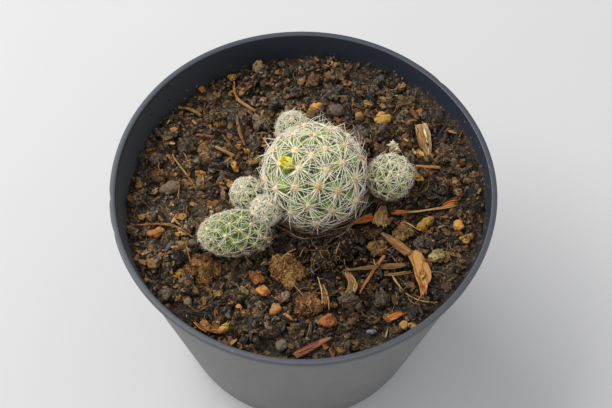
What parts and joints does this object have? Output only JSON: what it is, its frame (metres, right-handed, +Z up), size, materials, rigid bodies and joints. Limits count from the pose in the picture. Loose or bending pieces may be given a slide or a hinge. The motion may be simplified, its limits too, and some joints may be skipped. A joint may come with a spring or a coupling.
{
  "type": "potted cactus",
  "caption": "Small clustering cactus with white spines, side stems and a flower bud, in a round plastic nursery pot filled with potting mix.",
  "frame": {"origin": "bottom centre of the pot, on the surface that it stands on", "axes": "+Z up, -Y towards the viewer of the picture, +X to the right"},
  "size_m": [0.1, 0.1, 0.087],
  "materials": {
    "pot_plastic": "thin moulded polypropylene, slate grey, satin, dusty outside",
    "potting_mix": "dark moist potting mix with husk, coir and bark",
    "stem_skin": "green cactus skin, waxy, with woolly areoles",
    "spines": "white hair-like and needle spines",
    "flower": "yellow-green bud, waxy",
    "dried_flower": "cream, dry and crumpled",
    "root": "pale brown root",
    "stone": "rough stones, tan to dark brown",
    "clod": "clods of mix and fibre",
    "wood_chip": "bark and coir chips, fibrous",
    "twig": "thin twigs and rootlets"
  },
  "bodies": {
    "root": {"back_offset": "stem_skin", "bark_curl": "wood_chip", "bent_twig": "twig", "brown_chip": "wood_chip", "clod_back": "clod", "clod_back_left": "clod", "clod_brown_left": "clod", "clod_dark_front": "clod", "clod_dark_middle": "clod", "clod_front": "clod", "clod_front_right": "clod", "clod_grey_left": "clod", "clod_grey_right": "clod", "clod_left": "clod", "clod_nut": "clod", "clod_right": "clod", "clod_small_left": "clod", "clod_upper_left": "clod", "curved_flake": "wood_chip", "dark_stone_back": "stone", "dried_flower": "dried_flower", "fibrous_twig": "twig", "flower_bud": "flower", "grey_stone_front": "stone", "grey_stone_left": "stone", "left_back_offset": "stem_skin", "left_front_offset": "stem_skin", "low_left_offset": "stem_skin", "main_stem": "stem_skin", "ochre_stone_front": "stone", "olive_chip": "wood_chip", "olive_stone_front": "stone", "orange_chip_front": "wood_chip", "orange_chunk_left": "stone", "orange_stick": "twig", "orange_stick_right": "twig", "orange_stone_front": "stone", "orange_stone_left": "stone", "orange_wedge": "wood_chip", "oval_stone_left": "stone", "pale_stick": "twig", "pot": "pot_plastic", "red_stick": "twig", "reddish_chip": "wood_chip", "reddish_twig": "twig", "right_offset": "stem_skin", "root_upper_left": "twig", "rootlet_left": "twig", "roots": "root", "small_tan_stone": "stone", "soil": "potting_mix", "striped_husk": "wood_chip", "tan_chip": "wood_chip", "tan_stone_back": "stone", "tan_stone_back_right": "stone", "tan_stone_right": "stone", "thin_root_right": "twig", "twig_back_left": "twig", "twig_right": "twig", "upright_chip": "wood_chip"}
  },
  "joints": []
}
